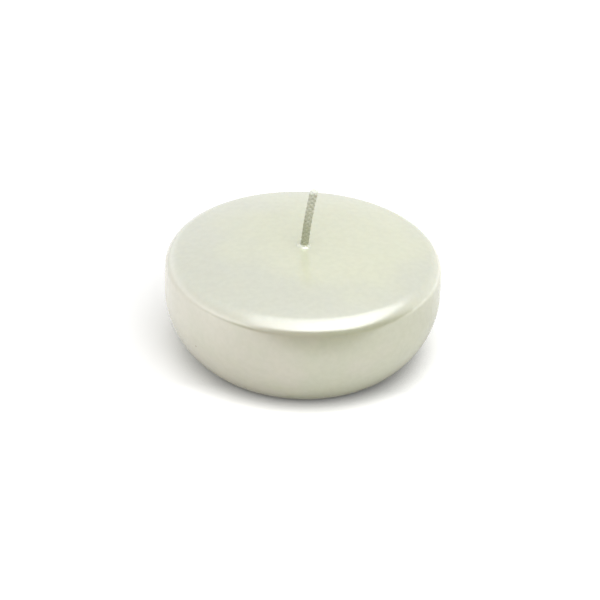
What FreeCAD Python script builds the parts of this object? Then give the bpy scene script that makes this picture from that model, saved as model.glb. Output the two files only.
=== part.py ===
"""Floating candle: a turned tablet of wax with a waxed cotton wick, held by a stamped steel sustainer.

Millimetres, +Z up. The origin is the centre of the base, which stands on z = 0, and the free end of
the wick leans towards +X. Every round piece is a half section, drawn in the XZ plane with X as the
radius, and turned about the Z axis.
"""
import FreeCAD, Part
import math
import os

# Wax body, from the middle of the top down to the base
wax_diameter = 76.2
wax_height = 31.75
crown_flat_diameter = 32.0  # the top is flat in the middle and falls away gently outside it
crown_radius = 112.0
shoulder_radius = 4.2
side_radius = 110.0  # the side swells very slightly
widest_height = 19.0
base_diameter = 52.8
bowl_drop = 10.4  # how far the bowl runs on straight down from the widest line
toe_reach = 3.4  # how far it runs out flat before it meets the base
mouth_chamfer = 0.4  # at the mouth of the recess in the base

# Collar of wax drawn up round the foot of the wick
collar_height = 0.85
collar_lip = 0.15

# Wick
wick_diameter = 2.3
wick_stand = 17.2  # length above the top of the wax
wick_bend_radius = 78.0
wick_clearance = 0.05

# Sustainer, stamped from one sheet
tab_diameter = 15.0
sheet_thickness = 0.25
bead_diameter = 9.6  # the pressed ring that stiffens the disc
bead_half_width = 0.8
bead_depth = 0.35
neck_height = 6.0
neck_bend = 0.4
neck_clearance = 0.22  # room round the wick above and below the crimp
crimp_from_top = 2.2
crimp_half_height = 0.6
crimp_clearance = 0.03
seat_clearance = 0.1  # room between the sustainer and the wax round it
stand_clearance = 0.3  # from the lowest point of the sustainer down to the base

wick_radius = wick_diameter / 2
neck_inner_radius = wick_radius + neck_clearance
neck_outer_radius = neck_inner_radius + sheet_thickness
recess_depth = sheet_thickness + bead_depth + stand_clearance
tab_underside = recess_depth - sheet_thickness
neck_top = recess_depth + neck_height


def at(radius, height):
    """A point of a half section."""
    return FreeCAD.Vector(radius, 0, height)


def arc(centre, radius, start, end):
    """An arc of a half section between two directions in degrees, counted from outwards towards up."""
    points = []
    for degrees in (start, (start + end) / 2, end):
        turn = math.radians(degrees)
        points.append(centre + at(radius * math.cos(turn), radius * math.sin(turn)))
    return Part.Arc(*points).toShape()


def direction(centre, point):
    """The direction in degrees in which a point lies from a centre."""
    return math.degrees(math.atan2(point.z - centre.z, point.x - centre.x))


def outer_crossing(centre_a, radius_a, centre_b, radius_b):
    """Where two circles cross, at the crossing further from the axis."""
    apart = centre_b - centre_a
    along = (radius_a ** 2 - radius_b ** 2 + apart.Length ** 2) / (2 * apart.Length)
    across = math.sqrt(radius_a ** 2 - along ** 2)
    unit = apart / apart.Length
    foot = centre_a + unit * along
    sidestep = at(-unit.z, unit.x) * across
    return max(foot + sidestep, foot - sidestep, key=lambda point: point.x)


def turned(*section):
    """The solid made by turning a half section round Z: points and curves, joined by straight lines."""
    starts = []
    ends = []
    for item in section:
        is_point = isinstance(item, FreeCAD.Vector)
        starts.append(item if is_point else item.firstVertex().Point)
        ends.append(item if is_point else item.lastVertex().Point)
    edges = []
    for item, end, following in zip(section, ends, starts[1:] + starts[:1]):
        if not isinstance(item, FreeCAD.Vector):
            edges.append(item)
        if end.distanceToPoint(following) > 1e-6:
            edges.append(Part.makeLine(end, following))
    face = Part.Face(Part.Wire(edges))
    return face.revolve(FreeCAD.Vector(0, 0, 0), FreeCAD.Vector(0, 0, 1), 360)


def hollow_behind(half_width, depth):
    """Half width and depth of the hollow behind a pressed ridge, in a sheet of even thickness."""
    slope = math.atan2(depth, half_width)
    hollow_half_width = half_width - sheet_thickness * math.tan(slope / 2)
    hollow_depth = depth - sheet_thickness * (1 / math.cos(slope) - 1)
    return hollow_half_width, hollow_depth


def wax_body():
    """Crown, shoulder and side as tangent arcs, the bowl as one curve down to the base, the seats inside."""
    radius = wax_diameter / 2
    base_radius = base_diameter / 2
    crown_centre = at(crown_flat_diameter / 2, wax_height - crown_radius)
    side_centre = at(radius - side_radius, widest_height)
    shoulder_centre = outer_crossing(crown_centre, crown_radius - shoulder_radius,
                                     side_centre, side_radius - shoulder_radius)
    rim = direction(crown_centre, shoulder_centre)
    side_top = direction(side_centre, shoulder_centre)

    bowl = Part.BezierCurve()
    bowl.setPoles([at(radius, widest_height), at(radius, widest_height - bowl_drop),
                   at(base_radius + toe_reach, 0), at(base_radius, 0)])

    bore_radius = wick_radius + wick_clearance
    collar_radius = bore_radius + collar_lip
    collar_top = wax_height + collar_height
    collar_centre = at(collar_radius + collar_height, collar_top)

    recess_radius = tab_diameter / 2 + seat_clearance
    pocket_radius = neck_outer_radius + seat_clearance
    pocket_top = neck_top + seat_clearance

    return turned(
        at(bore_radius, pocket_top),
        at(bore_radius, collar_top),
        arc(collar_centre, collar_height, 180, 270),
        arc(crown_centre, crown_radius, 90, rim),
        arc(shoulder_centre, shoulder_radius, rim, side_top),
        arc(side_centre, side_radius, side_top, 0),
        bowl.toShape(),
        at(recess_radius + mouth_chamfer, 0),
        at(recess_radius, mouth_chamfer),
        at(recess_radius, recess_depth),
        at(pocket_radius + neck_bend, recess_depth),
        at(pocket_radius, recess_depth + neck_bend),
        at(pocket_radius, pocket_top),
    )


def wick():
    """Straight up through the sustainer and the wax, then bending over in the open."""
    foot = at(0, tab_underside)
    bend_start = at(0, wax_height)
    bend_centre = at(wick_bend_radius, wax_height)
    bend_end = 180 - math.degrees(wick_stand / wick_bend_radius)
    path = Part.Wire([Part.makeLine(foot, bend_start), arc(bend_centre, wick_bend_radius, 180, bend_end)])
    section = Part.Wire(Part.makeCircle(wick_radius, foot, FreeCAD.Vector(0, 0, 1)))
    return path.makePipeShell([section], True, False)


def wick_sustainer():
    """A disc with a pressed bead, bent up into a neck whose rolled crimp grips the wick."""
    tab_radius = tab_diameter / 2
    bead_radius = bead_diameter / 2
    bead_hollow, bead_hollow_depth = hollow_behind(bead_half_width, bead_depth)

    crimp_height = neck_top - crimp_from_top
    crimp_depth = neck_clearance - crimp_clearance
    crimp_hollow, crimp_hollow_depth = hollow_behind(crimp_half_height, crimp_depth)

    inner_bend = neck_bend - sheet_thickness * math.tan(math.radians(22.5))

    return turned(
        at(tab_radius, tab_underside),
        at(tab_radius, recess_depth),
        at(bead_radius + bead_hollow, recess_depth),
        at(bead_radius, recess_depth - bead_hollow_depth),
        at(bead_radius - bead_hollow, recess_depth),
        at(neck_outer_radius + neck_bend, recess_depth),
        at(neck_outer_radius, recess_depth + neck_bend),
        at(neck_outer_radius, crimp_height - crimp_hollow),
        at(neck_outer_radius - crimp_hollow_depth, crimp_height),
        at(neck_outer_radius, crimp_height + crimp_hollow),
        at(neck_outer_radius, neck_top),
        at(neck_inner_radius, neck_top),
        at(neck_inner_radius, crimp_height + crimp_half_height),
        at(neck_inner_radius - crimp_depth, crimp_height),
        at(neck_inner_radius, crimp_height - crimp_half_height),
        at(neck_inner_radius, recess_depth + inner_bend),
        at(neck_outer_radius + inner_bend, tab_underside),
        at(bead_radius - bead_half_width, tab_underside),
        at(bead_radius, tab_underside - bead_depth),
        at(bead_radius + bead_half_width, tab_underside),
    )


os.makedirs("parts", exist_ok=True)
for make_piece in (wax_body, wick, wick_sustainer):
    make_piece().exportStep(f"parts/{make_piece.__name__}.step")
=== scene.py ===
"""A floating candle: a tablet of ivory wax with a pearl dip, and the waxed wick in it."""
import math

import bpy
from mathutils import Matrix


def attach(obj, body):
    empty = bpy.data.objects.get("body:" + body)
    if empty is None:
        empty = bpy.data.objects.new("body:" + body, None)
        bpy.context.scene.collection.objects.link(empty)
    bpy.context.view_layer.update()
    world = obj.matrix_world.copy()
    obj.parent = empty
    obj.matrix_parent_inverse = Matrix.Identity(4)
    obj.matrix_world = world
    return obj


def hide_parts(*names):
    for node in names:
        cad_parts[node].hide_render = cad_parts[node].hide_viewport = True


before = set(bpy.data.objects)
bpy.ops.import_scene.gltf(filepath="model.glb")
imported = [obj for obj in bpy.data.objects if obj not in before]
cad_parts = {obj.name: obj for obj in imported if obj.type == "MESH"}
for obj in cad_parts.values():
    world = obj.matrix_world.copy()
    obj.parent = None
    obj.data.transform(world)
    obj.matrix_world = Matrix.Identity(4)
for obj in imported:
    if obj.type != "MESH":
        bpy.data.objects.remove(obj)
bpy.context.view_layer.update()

# Camera
# A long lens on a tripod in front of the candle, looking down at it by about a third of a right
# angle, and not quite level: the picture leans a little to the right.
lens_drop = math.radians(31.53)
lens_roll = math.radians(2.06)
lens_distance = 0.450
lens_length = 96.92
aim = (-0.00057, -0.00026, 0.01458)
bpy.ops.object.camera_add()
camera = bpy.context.object
camera.name = "camera"
camera.data.lens = lens_length
camera.data.clip_start = 0.01
camera.rotation_mode = "ZYX"
camera.rotation_euler = (math.radians(90) - lens_drop, 0, lens_roll)
camera.location = (
    aim[0],
    aim[1] - lens_distance * math.cos(lens_drop),
    aim[2] + lens_distance * math.sin(lens_drop),
)
bpy.context.scene.camera = camera
bpy.context.scene.view_settings.view_transform = "Standard"

# Table
# A sheet of white studio paper that the candle stands on, a little over-exposed, so that only the
# shadow close round the candle shows on it. Painted shade deepens that shadow, and painted light
# makes the paper brighter to the lens in front of the candle. The gloss of the wax picks up a dark
# table top past the paper's near edge. The lens doesn't see that edge: to it the paper goes on,
# white.
paper_size = 3.0
paper_edge = -0.081
paper_edge_blur = 0.008
paper_edge_slant = -0.22
dark_table_top = 0.10
paper_lighting_wax = 0.72
paper_in_view = 0.75
paper_mirror_centre = (0.045, -0.07, 0)
paper_mirror_gain = 1.60
front_glare = 2.47
back_glare = 1.50
far_glare = 5.0
shadow_width = 0.022
left_shade = 0.63
right_shade = 0.42


def plug(socket, value):
    """Gives a socket a number, a place or a colour, or links it to another node's output."""
    if isinstance(value, bpy.types.NodeSocket):
        links.new(value, socket)
    else:
        socket.default_value = value


def add_range(value, from_min, from_max, to_min, to_max, interpolation="SMOOTHSTEP"):
    """Turns one run of numbers into another, smoothly unless it is told otherwise."""
    node = nodes.new("ShaderNodeMapRange")
    node.interpolation_type = interpolation
    plug(node.inputs["Value"], value)
    plug(node.inputs["From Min"], from_min)
    plug(node.inputs["From Max"], from_max)
    plug(node.inputs["To Min"], to_min)
    plug(node.inputs["To Max"], to_max)
    return node.outputs["Result"]


def add_math(operation, *values):
    """Works out one number from one or more."""
    node = nodes.new("ShaderNodeMath")
    node.operation = operation
    for socket, value in zip(node.inputs, values):
        plug(socket, value)
    return node.outputs["Value"]


def add_measure(operation, *places):
    """Works out one number from one or two places or directions."""
    node = nodes.new("ShaderNodeVectorMath")
    node.operation = operation
    for socket, place in zip(node.inputs, places):
        plug(socket, place)
    return node.outputs["Value"]


def add_blend(factor, first, second):
    """Blends one number into another."""
    node = nodes.new("ShaderNodeMix")
    node.data_type = "FLOAT"
    plug(node.inputs["Factor"], factor)
    plug(node.inputs["A"], first)
    plug(node.inputs["B"], second)
    return node.outputs["Result"]


def add_axes(place):
    """Takes a place or a direction apart into X, Y and Z."""
    node = nodes.new("ShaderNodeSeparateXYZ")
    links.new(place, node.inputs["Vector"])
    return node.outputs


bpy.ops.mesh.primitive_circle_add(vertices=96, radius=paper_size, fill_type="NGON")
table = bpy.context.object
table.name = "table"

paper = bpy.data.materials.new("white studio paper")
paper.use_nodes = True
nodes = paper.node_tree.nodes
links = paper.node_tree.links
nodes.remove(nodes["Principled BSDF"])
paper_shader = nodes.new("ShaderNodeBsdfDiffuse")
paper_ray = nodes.new("ShaderNodeLightPath").outputs
paper_place = nodes.new("ShaderNodeTexCoord").outputs["Object"]
paper_axes = add_axes(paper_place)

in_view = add_math("MAXIMUM", paper_ray["Is Camera Ray"], paper_ray["Is Glossy Ray"])
paper_level = add_blend(in_view, paper_lighting_wax, paper_in_view)
# Painted light: to the gloss of the wax, the paper grows brighter away from a spot in front of the
# candle on the right.
mirror_distance = add_measure("DISTANCE", paper_place, paper_mirror_centre)
mirror_gain = add_range(mirror_distance, 0.065, 0.145, 1, paper_mirror_gain)
mirrored = add_blend(paper_ray["Is Glossy Ray"], 1, mirror_gain)
paper_shown = add_math("MULTIPLY", paper_level, mirrored)

# Painted shade: the paper's colour darkens where the candle stands close over it, deepest on the
# right, on top of the shadow that the lamps cast.
shadow_gap = nodes.new("ShaderNodeAmbientOcclusion")
shadow_gap.samples = 8
shadow_gap.inputs["Distance"].default_value = shadow_width
deepest_shade = add_range(paper_axes["X"], -0.026, 0.030, left_shade, right_shade, "LINEAR")
shadow = add_range(shadow_gap.outputs["AO"], 0.18, 0.67, deepest_shade, 1)
paper_lit = add_math("MULTIPLY", paper_shown, shadow)

edge_distance = add_math("MULTIPLY_ADD", paper_axes["X"], paper_edge_slant, paper_axes["Y"])
edge_start = paper_edge - paper_edge_blur
edge_end = paper_edge + paper_edge_blur
on_paper = add_range(edge_distance, edge_start, edge_end, dark_table_top, 1, "LINEAR")
# Painted light: to the lens the paper is brighter in front of the candle than beside and behind it,
# which narrows the shadow in front; far off it is brighter still.
far_white = add_range(add_measure("LENGTH", paper_place), 0.07, 0.50, back_glare, far_glare, "LINEAR")
glare = add_range(paper_axes["Y"], -0.042, -0.022, front_glare, far_white, "LINEAR")
glare_in_view = add_math("MULTIPLY", paper_ray["Is Camera Ray"], glare)
paper_reach = add_math("MAXIMUM", on_paper, glare_in_view)
links.new(add_math("MULTIPLY", paper_lit, paper_reach), paper_shader.inputs["Color"])
links.new(paper_shader.outputs["BSDF"], nodes["Material Output"].inputs["Surface"])
table.data.materials.append(paper)

# Studio light
# A white tent, brightest low down and on the left, and open at the front right, where the lens
# looks in from a dark room. The lens sees the tent as plain white. One large softbox hangs on the
# right, tipped to face the back, and its cloth glows most in the middle and at the front.
opening_turn = math.radians(25)
dark_room = 0.03
backdrop_white = 1
softbox_place = (0.396, -0.078, 0.527)
softbox_width = 1.12
softbox_depth = 1.21
softbox_tip = math.radians(31)
softbox_turn = math.radians(-20)
softbox_watts = 8.2

tent = bpy.data.worlds.new("white tent")
tent.use_nodes = True
bpy.context.scene.world = tent
nodes = tent.node_tree.nodes
links = tent.node_tree.links
tent_direction = nodes.new("ShaderNodeTexCoord").outputs["Generated"]
tent_ray = nodes.new("ShaderNodeLightPath").outputs
tent_axes = add_axes(tent_direction)
opening_direction = (math.sin(opening_turn), -math.cos(opening_turn), 0)
towards_opening = add_measure("DOT_PRODUCT", tent_direction, opening_direction)
in_opening = add_range(towards_opening, 0.26, 0.84, 0, 1)
below_softbox = add_range(tent_axes["Z"], 0.28, 0.38, 1, 0)
tent_back = add_range(towards_opening, -0.80, 0.10, 0.97, 1.13)
tent_left = add_range(tent_axes["X"], -0.90, 0.50, 1.22, 0.81)
tent_height = add_range(tent_axes["Z"], 0, 0.68, 1.11, 0.47)
tent_cloth = add_math("MULTIPLY", add_math("MULTIPLY", tent_back, tent_left), tent_height)
opening = add_math("MULTIPLY", in_opening, below_softbox)
tent_level = add_blend(opening, tent_cloth, dark_room)
tent_level = add_blend(tent_ray["Is Camera Ray"], tent_level, backdrop_white)
nodes["Background"].inputs["Color"].default_value = (1, 1, 1, 1)
links.new(tent_level, nodes["Background"].inputs["Strength"])

bpy.ops.object.light_add(type="AREA", location=softbox_place)
softbox = bpy.context.object
softbox.name = "softbox"
softbox.data.shape = "RECTANGLE"
softbox.data.size = softbox_width
softbox.data.size_y = softbox_depth
softbox.data.energy = softbox_watts
softbox.rotation_euler = (softbox_tip, 0, softbox_turn)
softbox.data.use_nodes = True
nodes = softbox.data.node_tree.nodes
links = softbox.data.node_tree.links
cloth_axes = add_axes(nodes.new("ShaderNodeNewGeometry").outputs["Parametric"])
cloth_off_centre = add_math("ABSOLUTE", add_math("SUBTRACT", cloth_axes["X"], 0.5))
cloth_sides = add_range(cloth_off_centre, 0.16, 0.52, 1, 0.28)
cloth_back = add_range(cloth_axes["Y"], 0.12, 1.02, 1, 0.45)
cloth_glow = add_math("MULTIPLY", cloth_sides, cloth_back)
links.new(cloth_glow, nodes["Emission"].inputs["Strength"])

# Wax body
# One casting of ivory paraffin wax, poured in a mould as a tablet with a soft edge and a bowl
# below, with a collar drawn up round the wick. It has been dipped in thin pearl wax.
wax_radius = 0.0381
wax_top = 0.03175
crown_flat = 0.016
crown_radius = 0.112
shoulder_radius = 0.0042
side_radius = 0.110
widest = 0.0190
base_radius = 0.0264
bowl_drop = 0.0104
toe_reach = 0.0034
collar_height = 0.00085
collar_foot = 0.0022
collar_lip = 0.00135
collar_cling = 0.00090
wick_hole = 0.0012
recess_radius = 0.0076
recess_depth = 0.0009
mouth_round = 0.0004
pocket_radius = 0.00172
pocket_top = 0.0070
bowl_steps = 32
weld = 0.000001

crown_centre = (crown_flat, wax_top - crown_radius)
side_centre = (wax_radius - side_radius, widest)
to_side = (side_centre[0] - crown_centre[0], side_centre[1] - crown_centre[1])
apart = math.hypot(*to_side)
crown_reach = crown_radius - shoulder_radius
side_reach = side_radius - shoulder_radius
along = (crown_reach ** 2 - side_reach ** 2 + apart ** 2) / (2 * apart)
across = math.sqrt(crown_reach ** 2 - along ** 2)
shoulder_centre = (
    crown_centre[0] + (to_side[0] * along + to_side[1] * across) / apart,
    crown_centre[1] + (to_side[1] * along - to_side[0] * across) / apart,
)
rim_turn = math.atan2(shoulder_centre[0] - crown_centre[0], shoulder_centre[1] - crown_centre[1])
side_turn = math.atan2(shoulder_centre[0] - side_centre[0], shoulder_centre[1] - side_centre[1])


def start_outline(name, radius, height):
    """A mesh with one corner, which the outline of a turned piece grows from."""
    bpy.ops.object.select_all(action="DESELECT")
    bpy.ops.mesh.primitive_plane_add(size=0.001, location=(radius, 0, height))
    piece = bpy.context.object
    piece.name = name
    bpy.ops.object.transform_apply(location=True, rotation=False, scale=False)
    bpy.ops.object.mode_set(mode="EDIT")
    bpy.ops.mesh.select_all(action="SELECT")
    bpy.ops.mesh.merge(type="CENTER")
    return piece


def run(start, end, steps):
    """Extrudes the outline's free corner along a straight line."""
    for _ in range(steps):
        step = ((end[0] - start[0]) / steps, 0, (end[1] - start[1]) / steps)
        bpy.ops.mesh.extrude_vertices_move(TRANSFORM_OT_translate={"value": step})


def swing(centre, turn, steps):
    """Spins the outline's free corner about a centre, clockwise where the turn is above zero."""
    bpy.ops.mesh.spin(steps=steps, angle=-turn, center=(centre[0], 0, centre[1]), axis=(0, 1, 0))


def turn_solid(steps):
    """Spins the whole outline once round the candle's axis, and closes and orients the solid."""
    bpy.ops.mesh.select_all(action="SELECT")
    bpy.ops.mesh.remove_doubles(threshold=weld)
    bpy.ops.mesh.spin(steps=steps, angle=math.tau, center=(0, 0, 0), axis=(0, 0, 1))
    bpy.ops.mesh.select_all(action="SELECT")
    bpy.ops.mesh.remove_doubles(threshold=weld)
    bpy.ops.mesh.normals_make_consistent(inside=False)
    bpy.ops.object.mode_set(mode="OBJECT")
    bpy.ops.object.shade_smooth_by_angle(angle=math.radians(32))


wax_body = start_outline("wax", wick_hole, pocket_top)
run((wick_hole, pocket_top), (wick_hole, wax_top), 6)
run((wick_hole, wax_top), (collar_cling, wax_top + collar_height), 2)
run((collar_cling, wax_top + collar_height), (collar_lip, wax_top + collar_height), 3)
swing((collar_foot, wax_top + collar_height), -math.radians(90), 8)
run((collar_foot, wax_top), (crown_flat, wax_top), 10)
swing(crown_centre, rim_turn, 14)
swing(shoulder_centre, side_turn - rim_turn, 24)
swing(side_centre, math.radians(90) - side_turn, 6)
last = (wax_radius, widest)
for step in range(1, bowl_steps + 1):
    t = step / bowl_steps
    upper = (1 - t) ** 3 + 3 * t * (1 - t) ** 2
    bowl_point = (
        upper * wax_radius + 3 * t ** 2 * (1 - t) * (base_radius + toe_reach) + t ** 3 * base_radius,
        (1 - t) ** 3 * widest + 3 * t * (1 - t) ** 2 * (widest - bowl_drop),
    )
    run(last, bowl_point, 1)
    last = bowl_point
run(last, (recess_radius + mouth_round, 0), 8)
swing((recess_radius + mouth_round, mouth_round), math.radians(90), 5)
run((recess_radius, mouth_round), (recess_radius, recess_depth), 2)
run((recess_radius, recess_depth), (pocket_radius + mouth_round, recess_depth), 5)
swing((pocket_radius + mouth_round, recess_depth + mouth_round), math.radians(90), 5)
run((pocket_radius, recess_depth + mouth_round), (pocket_radius, pocket_top), 4)
run((pocket_radius, pocket_top), (wick_hole, pocket_top), 1)
turn_solid(256)


def new_group(name, inputs, output):
    """A node group with number inputs, a place to read its pattern at, and one number out."""
    group = bpy.data.node_groups.new(name, "ShaderNodeTree")
    group.interface.new_socket("Vector", in_out="INPUT", socket_type="NodeSocketVector")
    for socket_name in inputs:
        group.interface.new_socket(socket_name, in_out="INPUT", socket_type="NodeSocketFloat")
    group.interface.new_socket(output, in_out="OUTPUT", socket_type="NodeSocketFloat")
    return group, group.nodes.new("NodeGroupInput"), group.nodes.new("NodeGroupOutput")


mottle, mottle_in, mottle_out = new_group("soft mottle", ("Scale", "Detail", "Low", "High"), "Value")
mottle_noise = mottle.nodes.new("ShaderNodeTexNoise")
mottle_range = mottle.nodes.new("ShaderNodeMapRange")
mottle_range.interpolation_type = "SMOOTHERSTEP"
mottle_range.inputs["From Min"].default_value = 0.15
mottle_range.inputs["From Max"].default_value = 0.85
mottle.links.new(mottle_in.outputs["Vector"], mottle_noise.inputs["Vector"])
mottle.links.new(mottle_in.outputs["Scale"], mottle_noise.inputs["Scale"])
mottle.links.new(mottle_in.outputs["Detail"], mottle_noise.inputs["Detail"])
mottle.links.new(mottle_noise.outputs["Fac"], mottle_range.inputs["Value"])
mottle.links.new(mottle_in.outputs["Low"], mottle_range.inputs["To Min"])
mottle.links.new(mottle_in.outputs["High"], mottle_range.inputs["To Max"])
mottle.links.new(mottle_range.outputs["Result"], mottle_out.inputs["Value"])

flecks, flecks_in, flecks_out = new_group("stray flecks", ("Scale", "Size", "Share"), "Mask")
fleck_cells = flecks.nodes.new("ShaderNodeTexVoronoi")
fleck_hue = flecks.nodes.new("ShaderNodeSeparateColor")
fleck_near = flecks.nodes.new("ShaderNodeMath")
fleck_near.operation = "LESS_THAN"
fleck_picked = flecks.nodes.new("ShaderNodeMath")
fleck_picked.operation = "LESS_THAN"
fleck_both = flecks.nodes.new("ShaderNodeMath")
fleck_both.operation = "MULTIPLY"
flecks.links.new(flecks_in.outputs["Vector"], fleck_cells.inputs["Vector"])
flecks.links.new(flecks_in.outputs["Scale"], fleck_cells.inputs["Scale"])
flecks.links.new(fleck_cells.outputs["Distance"], fleck_near.inputs[0])
flecks.links.new(flecks_in.outputs["Size"], fleck_near.inputs[1])
flecks.links.new(fleck_cells.outputs["Color"], fleck_hue.inputs["Color"])
flecks.links.new(fleck_hue.outputs["Red"], fleck_picked.inputs[0])
flecks.links.new(flecks_in.outputs["Share"], fleck_picked.inputs[1])
flecks.links.new(fleck_near.outputs["Value"], fleck_both.inputs[0])
flecks.links.new(fleck_picked.outputs["Value"], fleck_both.inputs[1])
flecks.links.new(fleck_both.outputs["Value"], flecks_out.inputs["Mask"])


def add_group(group, vector, **values):
    """Puts a node group in the material that is being made, with its own numbers."""
    node = nodes.new("ShaderNodeGroup")
    node.node_tree = group
    links.new(vector, node.inputs["Vector"])
    for socket_name, value in values.items():
        node.inputs[socket_name].default_value = value
    return node.outputs[0]


def add_mix(factor, first, second, blend="MIX"):
    """Mixes two colours."""
    node = nodes.new("ShaderNodeMix")
    node.data_type = "RGBA"
    node.blend_type = blend
    plug(node.inputs["Factor"], factor)
    plug(node.inputs["A"], first)
    plug(node.inputs["B"], second)
    return node.outputs["Result"]


def add_bump(height, distance, normal=None):
    """Raises the surface by a height, on top of an earlier bump where there is one."""
    node = nodes.new("ShaderNodeBump")
    node.inputs["Distance"].default_value = distance
    links.new(height, node.inputs["Height"])
    if normal is not None:
        links.new(normal, node.inputs["Normal"])
    return node.outputs["Normal"]


def add_place(scale):
    """The place on the piece, stretched along its axes."""
    place = nodes.new("ShaderNodeTexCoord")
    stretch = nodes.new("ShaderNodeMapping")
    stretch.inputs["Scale"].default_value = scale
    links.new(place.outputs["Object"], stretch.inputs["Vector"])
    return stretch.outputs["Vector"]


def add_axis(axis):
    """The place on the piece along one axis."""
    return add_axes(nodes.new("ShaderNodeTexCoord").outputs["Object"])[axis]


top_ivory = (0.750, 0.766, 0.588, 1)
rim_sheen_ivory = (0.690, 0.704, 0.590, 1)
shaded_side_ivory = (0.552, 0.526, 0.362, 1)
lit_blush_ivory = (0.655, 0.622, 0.490, 1)
green_ivory = (0.566, 0.598, 0.402, 1)
speck_brown = (0.30, 0.25, 0.16, 1)
base_grey = (0.600, 0.580, 0.460, 1)
top_middle = (0.007, 0.006, 0)
dip_speck = (-0.02777, -0.02533, 0.01440)

pearl = bpy.data.materials.new("pearl wax")
pearl.use_nodes = True
nodes = pearl.node_tree.nodes
links = pearl.node_tree.links
wax_shader = nodes["Principled BSDF"]
wax_shader.inputs["IOR"].default_value = 3.0
wax_shader.inputs["Subsurface Weight"].default_value = 0.25
wax_shader.inputs["Subsurface Radius"].default_value = (1.0, 0.8, 0.5)
wax_shader.inputs["Subsurface Scale"].default_value = 0.003
wax_shader.inputs["Coat Weight"].default_value = 0.50
wax_shader.inputs["Coat Roughness"].default_value = 0.22

wax_place = add_place((1, 1, 1))
wax_height = add_axis("Z")
on_top = add_range(wax_height, 0.0265, 0.0303, 0, 1)
near_base = add_range(wax_height, 0.0006, 0.0042, 1, 0)
# The sides shade from pink on the left to green on the right, the pearl's own tints; the left is also
# painted lighter than the right, as painted light from the bright left of the tent.
to_right = add_range(add_axis("X"), -0.034, 0.034, 0, 1)
blotches = add_group(mottle, wax_place, Scale=75, Detail=2, Low=-0.5, High=0.5)
hue_and_light_share = add_math("ADD", to_right, blotches)
hue_and_light_clamp = add_range(hue_and_light_share, 0, 1, 0, 1)
side_hue_and_light = add_mix(hue_and_light_clamp, lit_blush_ivory, green_ivory)
side_colour = add_mix(0.55, shaded_side_ivory, side_hue_and_light)
# Painted sheen: the top turns greyer and less yellow towards its rim, in place of the whiter gloss
# there; the soft clouds over it are the wax's own tone.
from_middle = add_measure("DISTANCE", add_place((1, 1, 0)), top_middle)
near_rim = add_range(from_middle, 0.012, 0.042, 0, 1)
top_clouds = add_group(mottle, wax_place, Scale=60, Detail=1, Low=-0.24, High=0.24)
top_hue_and_sheen = add_math("ADD", near_rim, top_clouds)
top_colour = add_mix(add_range(top_hue_and_sheen, 0, 1, 0, 1), top_ivory, rim_sheen_ivory)
# Painted shade: the sides get a darker ivory than the top, as the sides take less of the light.
wax_colour = add_mix(on_top, side_colour, top_colour)
wax_colour = add_mix(add_math("MULTIPLY", near_base, 0.6), wax_colour, base_grey)
fine_tone = add_group(mottle, wax_place, Scale=620, Detail=2, Low=0.975, High=1.025)
wax_colour = add_mix(1.0, wax_colour, fine_tone, "MULTIPLY")
stray_specks = add_group(flecks, wax_place, Scale=170, Size=0.035, Share=0.030)
one_speck = add_range(add_measure("DISTANCE", wax_place, dip_speck), 0.00016, 0.00036, 1, 0)
faint_specks = add_math("MULTIPLY", stray_specks, 0.35)
specks = add_math("MAXIMUM", faint_specks, add_math("MULTIPLY", one_speck, 0.8))
wax_colour = add_mix(specks, wax_colour, speck_brown)
links.new(wax_colour, wax_shader.inputs["Base Color"])

pearl_grain = add_group(mottle, wax_place, Scale=330, Detail=2, Low=0.19, High=0.25)
wax_rough = add_math("ADD", pearl_grain, add_math("MULTIPLY", near_base, 0.22))
links.new(wax_rough, wax_shader.inputs["Roughness"])

dip_waves = add_group(mottle, wax_place, Scale=48, Detail=1, Low=0, High=1)
drain_runs = add_group(mottle, add_place((1, 1, 0.16)), Scale=210, Detail=2, Low=0, High=1)
runs_on_side = add_math("MULTIPLY", drain_runs, add_range(wax_height, 0.022, 0.028, 1, 0))
peel = add_group(mottle, wax_place, Scale=900, Detail=3, Low=0, High=1)
flakes = add_group(mottle, wax_place, Scale=4200, Detail=1, Low=0, High=1)
base_pits = add_group(mottle, wax_place, Scale=1500, Detail=4, Low=0, High=1)
pits = add_math("MULTIPLY", base_pits, near_base)
wax_bump = add_bump(dip_waves, 0.00018)
wax_bump = add_bump(runs_on_side, 0.00002, wax_bump)
wax_bump = add_bump(peel, 0.000006, wax_bump)
wax_bump = add_bump(flakes, 0.0000022, wax_bump)
wax_bump = add_bump(pits, 0.00005, wax_bump)
links.new(wax_bump, wax_shader.inputs["Normal"])
wax_body.data.materials.append(pearl)
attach(wax_body, "root")
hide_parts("wax_body")

# Wick
# Eight strands of cotton yarn braided round a core, soaked stiff in wax, pushed up through the
# candle and cut off square. It leans as it leaves the wax and bends on over in the open.
wick_radius = 0.00119
wick_foot = 0.00065
wick_length = 0.0483
strand_radius = 0.00036
core_radius = wick_radius - 1.05 * strand_radius
strand_lay = 0.0052
wax_fill = 0.00012
cut_shift = 0.00003
lean_start = 0.028
lean_radius = 0.067
lean = (wax_top - lean_start) / lean_radius
tip_bend_radius = 0.127
wick_stand = 0.0172
tip_bend = wick_stand / tip_bend_radius

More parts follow.
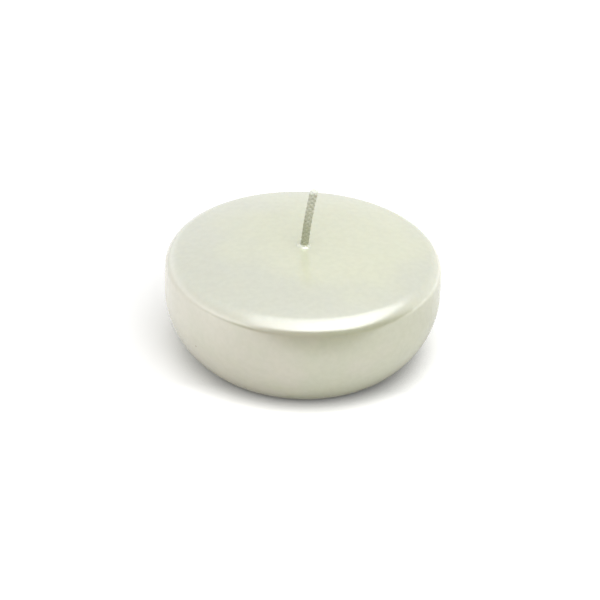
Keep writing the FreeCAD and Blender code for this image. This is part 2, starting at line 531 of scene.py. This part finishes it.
bpy.ops.object.select_all(action="DESELECT")
bpy.ops.mesh.primitive_circle_add(
    vertices=12,
    radius=strand_radius,
    location=(wick_radius - strand_radius, 0, -strand_lay),
    rotation=(math.radians(90), 0, 0),
)
wick = bpy.context.object
wick.name = "wick_braid"
bpy.ops.object.transform_apply(location=True, rotation=True, scale=True)
winding = wick.modifiers.new("winding", "SCREW")
winding.axis = "Z"
winding.angle = math.tau
winding.screw_offset = strand_lay
winding.iterations = math.ceil(wick_length / strand_lay) + 2
winding.steps = 18
winding.render_steps = 18
bpy.ops.object.modifier_apply(modifier="winding")
bpy.ops.object.mode_set(mode="EDIT")
bpy.ops.mesh.select_all(action="SELECT")
bpy.ops.mesh.fill_holes(sides=0)
for _ in range(3):
    bpy.ops.mesh.duplicate()
    bpy.ops.transform.rotate(value=math.radians(90), orient_axis="Z", center_override=(0, 0, 0))
bpy.ops.mesh.select_all(action="SELECT")
bpy.ops.mesh.duplicate()
bpy.ops.transform.resize(value=(-1, 1, 1), center_override=(0, 0, 0))
bpy.ops.mesh.primitive_cylinder_add(
    vertices=24,
    radius=core_radius,
    depth=wick_length + 2 * strand_lay,
    location=(0, 0, wick_length / 2),
)
bpy.ops.mesh.select_all(action="SELECT")
bpy.ops.mesh.normals_make_consistent(inside=False)
bpy.ops.object.mode_set(mode="OBJECT")
soaking = wick.modifiers.new("soaking", "REMESH")
soaking.mode = "VOXEL"
soaking.voxel_size = wax_fill
bpy.ops.object.modifier_apply(modifier="soaking")
bpy.ops.object.mode_set(mode="EDIT")
for cut_height, cut_side in ((cut_shift, -1), (wick_length + cut_shift, 1)):
    bpy.ops.mesh.select_all(action="SELECT")
    bpy.ops.mesh.bisect(
        plane_co=(0, 0, cut_height),
        plane_no=(0, 0, cut_side),
        clear_outer=True,
        threshold=weld,
    )
    bpy.ops.mesh.edge_face_add()
bpy.ops.mesh.select_all(action="SELECT")
bpy.ops.mesh.normals_make_consistent(inside=False)
bpy.ops.transform.translate(value=(0, 0, wick_foot))
bpy.ops.object.mode_set(mode="OBJECT")
filling = wick.modifiers.new("filling", "SMOOTH")
filling.factor = 0.5
filling.iterations = 18
bpy.ops.object.modifier_apply(modifier="filling")
thinning = wick.modifiers.new("thinning", "DECIMATE")
thinning.ratio = 0.6
bpy.ops.object.modifier_apply(modifier="thinning")

bpy.ops.curve.primitive_bezier_curve_add()
wick_line = bpy.context.object
wick_line.name = "wick_line"
wick_line.data.dimensions = "3D"
wick_line.data.resolution_u = 48
wick_line.data.splines[0].bezier_points.add(2)
lean_end = (lean_radius * (1 - math.cos(lean)), lean_start + lean_radius * math.sin(lean))
tip_turn = lean + tip_bend
tip = (
    lean_end[0] + tip_bend_radius * (math.cos(lean) - math.cos(tip_turn)),
    lean_end[1] + tip_bend_radius * (math.sin(tip_turn) - math.sin(lean)),
)
bend_points = (
    ((0, 0), 0, 0.009, 0.009),
    ((0, lean_start), 0, 0.009, lean_radius * lean / 3),
    (lean_end, lean, lean_radius * lean / 3, tip_bend_radius * tip_bend / 3),
    (tip, tip_turn, tip_bend_radius * tip_bend / 3, 0.003),
)
for point, (place, turn, before, after) in zip(wick_line.data.splines[0].bezier_points, bend_points):
    point.handle_left_type = "FREE"
    point.handle_right_type = "FREE"
    point.co = (place[0], 0, place[1])
    point.handle_left = (place[0] - before * math.sin(turn), 0, place[1] - before * math.cos(turn))
    point.handle_right = (place[0] + after * math.sin(turn), 0, place[1] + after * math.cos(turn))
bpy.ops.object.select_all(action="DESELECT")
wick_line.select_set(True)
bpy.ops.object.location_clear()
wick.select_set(True)
bpy.context.view_layer.objects.active = wick
bending = wick.modifiers.new("bending", "CURVE")
bending.object = wick_line
bending.deform_axis = "POS_Z"
bpy.ops.object.modifier_apply(modifier="bending")
bpy.data.objects.remove(wick_line)
bpy.ops.object.shade_smooth_by_angle(angle=math.radians(50))

yarn_ivory = (0.56, 0.565, 0.45, 1)
yarn_in_shade = (0.36, 0.375, 0.255, 1)
cut_white = (0.82, 0.84, 0.75, 1)

cotton = bpy.data.materials.new("waxed cotton")
cotton.use_nodes = True
nodes = cotton.node_tree.nodes
links = cotton.node_tree.links
cotton_shader = nodes["Principled BSDF"]
cotton_shader.inputs["IOR"].default_value = 1.5
cotton_shader.inputs["Subsurface Weight"].default_value = 0.15
cotton_shader.inputs["Subsurface Radius"].default_value = (1.0, 0.8, 0.5)
cotton_shader.inputs["Subsurface Scale"].default_value = 0.0008
yarn_place = add_place((1, 1, 1))
yarn_height = add_axis("Z")
# Painted shade: the wick darkens towards its foot, near the wax; the mottle is the yarn's own tone.
yarn_tone_and_shade = add_group(mottle, yarn_place, Scale=520, Detail=3, Low=-0.18, High=0.18)
yarn_tone_and_shade = add_math("ADD", yarn_tone_and_shade, add_range(yarn_height, 0.033, 0.0478, 0.1, 0.95))
yarn_colour = add_mix(add_range(yarn_tone_and_shade, 0, 1, 0, 1), yarn_in_shade, yarn_ivory)
tip_share = add_range(yarn_height, 0.0478, 0.0486, 0, 1)
yarn_colour = add_mix(tip_share, yarn_colour, cut_white)
fibre_tone = add_group(mottle, add_place((1, 1, 0.14)), Scale=7000, Detail=2, Low=0.92, High=1.06)
yarn_colour = add_mix(1.0, yarn_colour, fibre_tone, "MULTIPLY")
links.new(yarn_colour, cotton_shader.inputs["Base Color"])
yarn_rough = add_group(mottle, yarn_place, Scale=800, Detail=3, Low=0.38, High=0.58)
cotton_rough = add_math("ADD", yarn_rough, add_math("MULTIPLY", tip_share, 0.2))
links.new(cotton_rough, cotton_shader.inputs["Roughness"])
fibres = add_group(mottle, add_place((1, 1, 0.14)), Scale=7000, Detail=2, Low=0, High=1)
wax_beads = add_group(mottle, yarn_place, Scale=1400, Detail=2, Low=0, High=1)
yarn_bump = add_bump(wax_beads, 0.000008)
yarn_bump = add_bump(fibres, 0.000006, yarn_bump)
links.new(yarn_bump, cotton_shader.inputs["Normal"])
wick.data.materials.append(cotton)
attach(wick, "root")
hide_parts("wick")

# Wick sustainer
# A disc of tin-plated steel stamped from one sheet, pushed up into the base. A pressed ring
# stiffens the disc, and its neck is rolled in round the wick so that it grips it.
tab_radius = 0.0075
tab_middle = 0.000775
tin_thickness = 0.00025
bead_middle = 0.0048
bead_half_width = 0.0008
bead_depth = 0.00035
neck_radius = 0.001495
neck_bend = 0.000525
neck_top = 0.0069
crimp_height = 0.0047
crimp_half_height = 0.0006
crimp_depth = 0.00019
bead_turn = 2 * math.atan(bead_depth / bead_half_width)
bead_curve = bead_half_width / (2 * math.sin(bead_turn))
crimp_turn = 2 * math.atan(crimp_depth / crimp_half_height)
crimp_curve = crimp_half_height / (2 * math.sin(crimp_turn))

sustainer = start_outline("sustainer", tab_radius, tab_middle)
run((tab_radius, tab_middle), (bead_middle + bead_half_width, tab_middle), 4)
swing((bead_middle + bead_half_width, tab_middle - bead_curve), -bead_turn, 6)
swing((bead_middle, tab_middle - bead_depth + bead_curve), 2 * bead_turn, 10)
swing((bead_middle - bead_half_width, tab_middle - bead_curve), -bead_turn, 6)
run((bead_middle - bead_half_width, tab_middle), (neck_radius + neck_bend, tab_middle), 4)
swing((neck_radius + neck_bend, tab_middle + neck_bend), math.radians(90), 8)
run((neck_radius, tab_middle + neck_bend), (neck_radius, crimp_height - crimp_half_height), 5)
swing((neck_radius - crimp_curve, crimp_height - crimp_half_height), -crimp_turn, 6)
swing((neck_radius - crimp_depth + crimp_curve, crimp_height), 2 * crimp_turn, 8)
swing((neck_radius - crimp_curve, crimp_height + crimp_half_height), -crimp_turn, 6)
run((neck_radius, crimp_height + crimp_half_height), (neck_radius, neck_top), 3)
turn_solid(96)
sheet_metal = sustainer.modifiers.new("sheet metal", "SOLIDIFY")
sheet_metal.thickness = tin_thickness
sheet_metal.offset = 0
sheet_metal.use_even_offset = True
bpy.ops.object.modifier_apply(modifier="sheet metal")
broken_edge = sustainer.modifiers.new("broken edge", "BEVEL")
broken_edge.width = 0.00004
broken_edge.segments = 2
broken_edge.limit_method = "ANGLE"
broken_edge.angle_limit = math.radians(50)
bpy.ops.object.modifier_apply(modifier="broken edge")
bpy.ops.object.shade_smooth_by_angle(angle=math.radians(40))

bright_tin = (0.74, 0.74, 0.73, 1)
dull_tin = (0.60, 0.60, 0.59, 1)
tarnish = (0.36, 0.33, 0.28, 1)

tin_plate = bpy.data.materials.new("tin plate")
tin_plate.use_nodes = True
nodes = tin_plate.node_tree.nodes
links = tin_plate.node_tree.links
tin_shader = nodes["Principled BSDF"]
tin_shader.inputs["Metallic"].default_value = 1
tin_place = add_place((1, 1, 1))
tin_tone = add_group(mottle, tin_place, Scale=420, Detail=4, Low=0, High=1)
tin_colour = add_mix(tin_tone, dull_tin, bright_tin)
tin_spots = add_group(flecks, tin_place, Scale=900, Size=0.11, Share=0.05)
tin_colour = add_mix(add_math("MULTIPLY", tin_spots, 0.7), tin_colour, tarnish)
links.new(tin_colour, tin_shader.inputs["Base Color"])
rolling_lines = add_group(mottle, add_place((0.03, 1, 1)), Scale=9000, Detail=2, Low=0, High=1)
line_rough = add_math("MULTIPLY", rolling_lines, 0.10)
tone_rough = add_math("MULTIPLY", tin_tone, 0.08)
tin_rough = add_math("ADD", add_math("ADD", line_rough, tone_rough), 0.20)
links.new(tin_rough, tin_shader.inputs["Roughness"])
press_marks = add_group(mottle, tin_place, Scale=1500, Detail=3, Low=0, High=1)
tin_bump = add_bump(press_marks, 0.000008)
tin_bump = add_bump(rolling_lines, 0.0000012, tin_bump)
links.new(tin_bump, tin_shader.inputs["Normal"])
sustainer.data.materials.append(tin_plate)
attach(sustainer, "root")
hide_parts("wick_sustainer")
